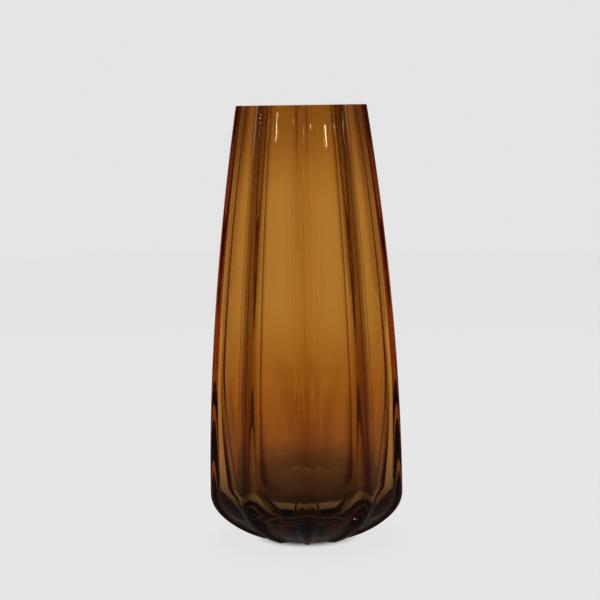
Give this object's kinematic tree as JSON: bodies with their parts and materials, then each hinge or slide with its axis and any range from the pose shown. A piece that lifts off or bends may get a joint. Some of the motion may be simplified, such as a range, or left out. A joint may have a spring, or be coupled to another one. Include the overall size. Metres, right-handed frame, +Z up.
{
  "type": "vase",
  "caption": "Tall tapering hand blown glass vase with moulded vertical ribs that turn under a heavy rounded base, and a straight cut rim.",
  "frame": {"origin": "on the vase's axis, in the plane it stands on", "axes": "+Z up the axis to the rim, -Y towards the viewer along one rib"},
  "size_m": [0.1544, 0.1612, 0.35],
  "materials": {
    "amber_casing_glass": "clear amber brown glass, fire polished from the mould, with a cut and polished rim",
    "dark_base_glass": "deep brown transparent glass, buried in the casing, ground and polished underneath",
    "amber_lining_glass": "clear amber glass, fire polished and smooth inside"
  },
  "bodies": {
    "root": {"ribbed_casing": "amber_casing_glass", "base_gather": "dark_base_glass", "inner_bubble": "amber_lining_glass"}
  },
  "joints": []
}
